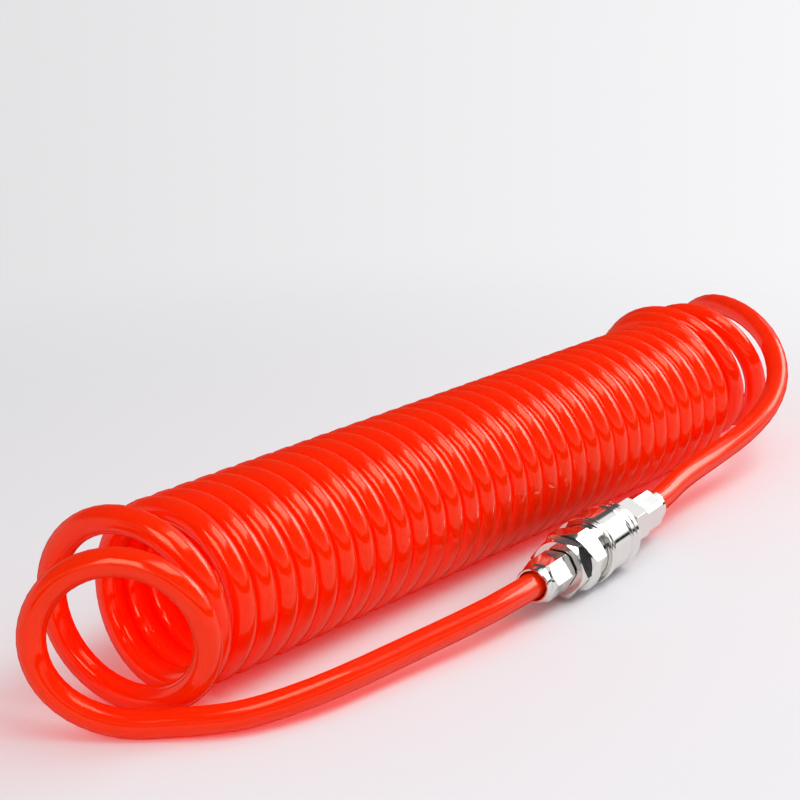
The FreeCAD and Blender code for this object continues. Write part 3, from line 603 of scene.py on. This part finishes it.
def dark_strip():
    # Dark strip beyond the table's front edge, which gives the plating its dark bands
    bm = bmesh.new()
    bmesh.ops.create_circle(bm, segments=64, radius=STRIP_RADIUS)
    rim = bmesh.ops.extrude_edge_only(bm, edges=bm.edges[:])["geom"]
    bmesh.ops.translate(bm, verts=[item for item in rim if isinstance(item, bmesh.types.BMVert)],
                        vec=(0, 0, STRIP_HEIGHT))
    behind = [face for face in bm.faces if face.calc_center_median().y > STRIP_END]
    bmesh.ops.delete(bm, geom=behind, context="FACES")
    strip = finished("dark_strip", bm)
    strip.data.materials.append(black_cloth("black_cloth"))
    for kind in ("camera", "diffuse", "shadow", "volume_scatter"):
        setattr(strip, "visible_" + kind, False)


def studio_lamps():
    for name, azimuth, elevation, width, height, radiance, lights_scene in LAMPS:
        across, up = math.radians(azimuth), math.radians(elevation)
        towards = Vector((math.sin(across) * math.cos(up), math.cos(across) * math.cos(up),
                          math.sin(up)))
        data = bpy.data.lights.new(name, "AREA")
        data.shape = "RECTANGLE"
        data.size = width
        data.size_y = height
        data.energy = radiance * math.pi * width * height
        lamp = bpy.data.objects.new(name, data)
        lamp.location = towards * LAMP_DISTANCE
        lamp.rotation_euler = (-towards).to_track_quat("-Z", "Y").to_euler()
        lamp.visible_diffuse = lights_scene
        bpy.context.collection.objects.link(lamp)


def studio_world():
    # A backdrop that grows brighter to the right and ends below a dark ceiling, for the camera and
    # in reflections, and an even fill for all else
    world = bpy.data.worlds.new("studio")
    bpy.context.scene.world = world
    world.use_nodes = True
    tree = world.node_tree
    tree.nodes.clear()
    place = add_node(tree, "ShaderNodeTexCoord")
    parts = add_node(tree, "ShaderNodeSeparateXYZ", inputs={"Vector": place.outputs["Generated"]})
    right = add_node(tree, "ShaderNodeVectorMath", {"operation": "DOT_PRODUCT"}, {
        0: place.outputs["Generated"], 1: TO_THE_RIGHT})
    pale = add_node(tree, "ShaderNodeMapRange", inputs={
        "Value": right.outputs["Value"], "From Min": -BACKDROP_REACH, "From Max": BACKDROP_REACH,
        "To Min": BACKDROP_LEFT, "To Max": BACKDROP_RIGHT})
    ceiling = add_node(tree, "ShaderNodeMapRange", {"interpolation_type": "SMOOTHSTEP"}, {
        "Value": parts.outputs["Z"], "From Min": CEILING_START, "From Max": CEILING_END,
        "To Min": 1.0, "To Max": CEILING_LEVEL})
    level = add_node(tree, "ShaderNodeMath", {"operation": "MULTIPLY"}, {
        0: pale.outputs["Result"], 1: ceiling.outputs["Result"]})
    rays = add_node(tree, "ShaderNodeLightPath")
    sharp = add_node(tree, "ShaderNodeMath", {"operation": "MAXIMUM"}, {
        0: rays.outputs["Is Glossy Ray"], 1: rays.outputs["Is Transmission Ray"]})
    seen = add_node(tree, "ShaderNodeMath", {"operation": "MAXIMUM"}, {
        0: rays.outputs["Is Camera Ray"], 1: sharp.outputs[0]})
    plain = add_node(tree, "ShaderNodeBackground", inputs={
        "Color": linear("#FEFDFF"), "Strength": level.outputs[0]})
    fill = add_node(tree, "ShaderNodeBackground", inputs={
        "Color": linear("#FFFFFF"), "Strength": FILL_LEVEL})
    both = add_node(tree, "ShaderNodeMixShader", inputs={
        "Fac": seen.outputs[0], 1: fill.outputs[0], 2: plain.outputs[0]})
    add_node(tree, "ShaderNodeOutputWorld", inputs={"Surface": both.outputs[0]})


# Operators

class AIRHOSE_OT_stage(bpy.types.Operator):
    """Camera, floor, backdrop and lamps"""
    bl_idname = "air_hose.stage"
    bl_label = "Stage"

    def execute(self, context):
        stage = context.scene.air_hose_stage
        photo_camera(stage)
        pale_floor(stage)
        dark_strip()
        studio_lamps()
        studio_world()
        context.scene.view_settings.view_transform = "Standard"
        return {"FINISHED"}


class AIRHOSE_OT_hose(bpy.types.Operator):
    """Hose from the socket's nut through the coil, and its last turn to the plug's nut"""
    bl_idname = "air_hose.hose"
    bl_label = "Hose"

    def execute(self, context):
        sizes = context.scene.air_hose
        coil = coil_points()
        bend = sizes.coil_radius / MM * math.tan(math.pi / sizes.points_a_turn)
        left, outwards = left_coil_end()
        # The hose is one length, in two pieces that meet on the bench
        seam = (coil[-2] + coil[-1]) / 2

        points = [Vector(point) for point in LEFT_ROUTE]
        points += [left + outwards * LEFT_LEAD, left + outwards * bend]
        points += coil[:-1] + [seam]
        path = spline_points("hose_line", [point * MM for point in points])
        hose, side = tube_object("hose", path, sizes.outer / 2, sizes.sides)
        end_points = [seam, coil[-1]] + [Vector(point) for point in RIGHT_ROUTE]
        end_path = spline_points("hose_end_line", [point * MM for point in end_points])
        hose_end, _ = tube_object("hose_plug_side", end_path, sizes.outer / 2, sizes.sides, side)

        for piece in (hose, hose_end):
            piece.data.materials.append(clear_red_hose())
        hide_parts("hose_coil", "hose_end_socket")
        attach(hose, "socket")
        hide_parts("hose_end_plug")
        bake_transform(hose_end)
        return {"FINISHED"}


class AIRHOSE_OT_hose_nuts(bpy.types.Operator):
    """The two hexagon nuts that clamp the hose"""
    bl_idname = "air_hose.hose_nuts"
    bl_label = "Hose nuts"

    def execute(self, context):
        for name, outline, turn, node, body in (
                ("left_hose_nut", NUT_OUTLINE, 0.0, "socket_hose_nut", "socket"),
                ("right_hose_nut", mirrored(NUT_OUTLINE), 32.0, "plug_hose_nut", "plug")):
            nut = turned_piece(name, outline, NUT_FLATS, turn)
            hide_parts(node)
            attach(nut, body)
        return {"FINISHED"}


class AIRHOSE_OT_socket(bpy.types.Operator):
    """Adapter and body of the socket"""
    bl_idname = "air_hose.socket"
    bl_label = "Socket"

    def execute(self, context):
        for name, outline, flats, turn, node in (
                ("threaded_adapter", ADAPTER_OUTLINE, ADAPTER_FLATS, 8.0, "socket_adapter"),
                ("socket_barrel", BODY_OUTLINE, BODY_FLATS, -12.0, "socket_body")):
            piece = turned_piece(name, outline, flats, turn)
            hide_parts(node)
            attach(piece, "socket")
        return {"FINISHED"}


class AIRHOSE_OT_sleeve(bpy.types.Operator):
    """Sliding sleeve of the socket"""
    bl_idname = "air_hose.sleeve"
    bl_label = "Sleeve"

    def execute(self, context):
        sleeve = turned_piece("sliding_sleeve", SLEEVE_OUTLINE)
        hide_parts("sleeve")
        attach(sleeve, "sleeve")
        return {"FINISHED"}


class AIRHOSE_OT_plug(bpy.types.Operator):
    """Plug with its hexagon and spigot"""
    bl_idname = "air_hose.plug"
    bl_label = "Plug"

    def execute(self, context):
        plug = turned_piece("coupling_plug", PLUG_OUTLINE, PLUG_FLATS, turn=24.0)
        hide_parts("plug_body")
        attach(plug, "plug")
        return {"FINISHED"}


class AIRHOSE_OT_inner_pieces(bpy.types.Operator):
    """Springs, balls, valve and seals"""
    bl_idname = "air_hose.inner_pieces"
    bl_label = "Inner pieces"

    def execute(self, context):
        round_spring("return_spring", "sleeve_spring")
        round_spring("poppet_spring", "valve_spring")
        for index in range(1, 4):
            node = "locking_ball_%d" % index
            low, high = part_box(node)
            bm = bmesh.new()
            bmesh.ops.create_uvsphere(bm, u_segments=32, v_segments=20, radius=BALL_RADIUS * MM)
            bmesh.ops.translate(bm, verts=bm.verts, vec=(Vector(low) + Vector(high)) / 2)
            ball = finished("steel_ball_%d" % index, bm, smooth_angle=math.radians(60))
            ball.data.materials.append(ball_steel())
            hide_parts(node)
            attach(ball, "ball_%d" % index)
        # The smaller pieces keep the meshes of their solids
        rubber = moulded_rubber("moulded_nitrile_rubber")
        for node, material in (("adapter_seal_ring", rubber), ("nose_packing", rubber),
                               ("valve_seal_disc", rubber), ("sleeve_snap_ring", spring_steel()),
                               ("valve_poppet", turned_brass())):
            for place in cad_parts[node].material_slots:
                place.material = material
        return {"FINISHED"}


class AIRHOSE_PT_panel(bpy.types.Panel):
    """Lists the pieces of the air hose"""
    bl_label = "Air Hose"
    bl_space_type = "VIEW_3D"
    bl_region_type = "UI"
    bl_category = "Air Hose"

    def draw(self, context):
        for operator in OPERATORS:
            self.layout.operator(operator.bl_idname)


OPERATORS = (AIRHOSE_OT_stage, AIRHOSE_OT_hose, AIRHOSE_OT_hose_nuts, AIRHOSE_OT_socket,
             AIRHOSE_OT_sleeve, AIRHOSE_OT_plug, AIRHOSE_OT_inner_pieces)
CLASSES = (HoseSizes, CouplingSizes, StageSizes) + OPERATORS + (AIRHOSE_PT_panel,)


def register():
    for item in CLASSES:
        bpy.utils.register_class(item)
    bpy.types.Scene.air_hose = PointerProperty(type=HoseSizes)
    bpy.types.Scene.air_hose_coupling = PointerProperty(type=CouplingSizes)
    bpy.types.Scene.air_hose_stage = PointerProperty(type=StageSizes)


def unregister():
    del bpy.types.Scene.air_hose
    del bpy.types.Scene.air_hose_coupling
    del bpy.types.Scene.air_hose_stage
    for item in reversed(CLASSES):
        bpy.utils.unregister_class(item)


def main():
    register()
    bpy.ops.air_hose.stage()
    bpy.ops.air_hose.hose()
    bpy.ops.air_hose.hose_nuts()
    bpy.ops.air_hose.socket()
    bpy.ops.air_hose.sleeve()
    bpy.ops.air_hose.plug()
    bpy.ops.air_hose.inner_pieces()


if __name__ == "__main__":
    main()
